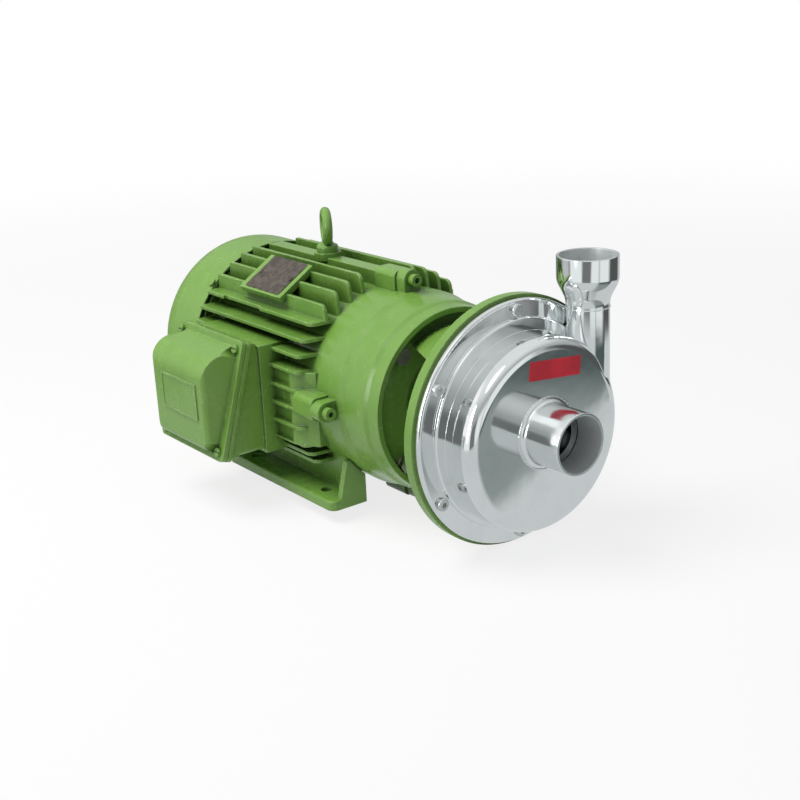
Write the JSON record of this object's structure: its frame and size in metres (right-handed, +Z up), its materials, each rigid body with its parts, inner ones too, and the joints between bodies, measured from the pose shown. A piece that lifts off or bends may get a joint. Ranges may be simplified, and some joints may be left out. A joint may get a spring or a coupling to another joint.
{
  "type": "centrifugal pump",
  "caption": "Close-coupled end-suction centrifugal pump: polished stainless casing and impeller on a lantern, driven by a foot-mounted finned electric motor.",
  "frame": {"origin": "centre of the four foot holes, on the plane that the feet stand on", "axes": "+X along the shaft towards the suction nozzle, +Y towards the discharge side, +Z up along the discharge; the shaft axis is 112 mm above the origin"},
  "size_m": [0.5925, 0.3227, 0.2996],
  "materials": {
    "green_paint": "satin green machinery enamel over castings and sheet",
    "polished_stainless": "mirror-polished stainless steel",
    "stainless_plate": "plain turned stainless steel",
    "bolt_steel": "zinc-plated and painted fasteners",
    "shaft_steel": "ground steel",
    "bearing_steel": "ground and polished steel",
    "lamination": "stacked electrical sheet",
    "cast_aluminium": "die cast",
    "copper_winding": "varnished copper wire",
    "brass": "turned brass",
    "black_plastic": "moulded",
    "black_rubber": "moulded rubber",
    "ceramic": "lapped ceramic",
    "carbon": "lapped carbon",
    "plate_metal": "dark blank metal plate",
    "red_label": "blank red film"
  },
  "bodies": {
    "pump_unit": {"motor_frame": "green_paint", "drive_end_shield": "green_paint", "rear_end_shield": "green_paint", "front_shield_bolts": "green_paint", "rear_shield_bolts": "bolt_steel", "fan_cover": "green_paint", "fan_cover_screws": "green_paint", "eyebolt": "green_paint", "nameplate": "plate_metal", "nameplate_rivets": "plate_metal", "terminal_box_body": "green_paint", "box_base_gasket": "black_rubber", "box_lid_gasket": "black_rubber", "terminal_box_lid": "green_paint", "lid_screws": "green_paint", "box_fixing_screws": "bolt_steel", "cable_entry_plug": "green_paint", "terminal_block": "black_plastic", "terminal_studs": "brass", "earth_screw": "brass", "front_bearing_outer_ring": "bearing_steel", "rear_bearing_outer_ring": "bearing_steel", "wave_washer": "shaft_steel", "front_oil_seal": "black_rubber", "stator_core": "lamination", "stator_windings": "copper_winding", "lantern": "green_paint", "lantern_bolts": "bolt_steel", "lantern_washers": "bolt_steel", "back_plate": "stainless_plate", "casing_oring": "black_rubber", "casing_shell": "polished_stainless", "suction_nozzle": "polished_stainless", "discharge_neck": "polished_stainless", "discharge_socket": "polished_stainless", "weld_beads": "polished_stainless", "casing_bolts": "bolt_steel", "casing_nuts": "bolt_steel", "name_label": "red_label", "seal_seat": "ceramic", "seal_seat_cup": "black_rubber"},
    "rotor": {"motor_shaft": "shaft_steel", "rotor_core": "lamination", "squirrel_cage": "cast_aluminium", "cooling_fan": "black_plastic", "fan_key": "shaft_steel", "fan_circlip": "shaft_steel", "front_bearing_inner_ring": "bearing_steel", "rear_bearing_inner_ring": "bearing_steel", "shaft_sleeve": "stainless_plate", "impeller": "stainless_plate", "impeller_key": "shaft_steel", "impeller_nut": "stainless_plate", "seal_ring": "carbon", "seal_bellows": "black_rubber", "seal_spring": "stainless_plate", "spring_retainer": "stainless_plate", "water_flinger": "black_rubber"},
    "front_ball_set": {"front_bearing_balls": "bearing_steel"},
    "rear_ball_set": {"rear_bearing_balls": "bearing_steel"}
  },
  "joints": [
    {"name": "rotor_spin", "type": "hinge", "parent": "pump_unit", "child": "rotor", "pos_m": [0, 0, 0.112], "axis": [1, 0, 0], "continuous": true},
    {"name": "front_balls_orbit", "type": "hinge", "parent": "pump_unit", "child": "front_ball_set", "pos_m": [0.1205, 0, 0.112], "axis": [1, 0, 0], "continuous": true},
    {"name": "rear_balls_orbit", "type": "hinge", "parent": "pump_unit", "child": "rear_ball_set", "pos_m": [-0.167, 0, 0.112], "axis": [1, 0, 0], "continuous": true}
  ],
  "couplings": [
    {"joint": "front_balls_orbit", "follows": "rotor_spin", "ratio": 0.3827},
    {"joint": "rear_balls_orbit", "follows": "rotor_spin", "ratio": 0.3965}
  ]
}
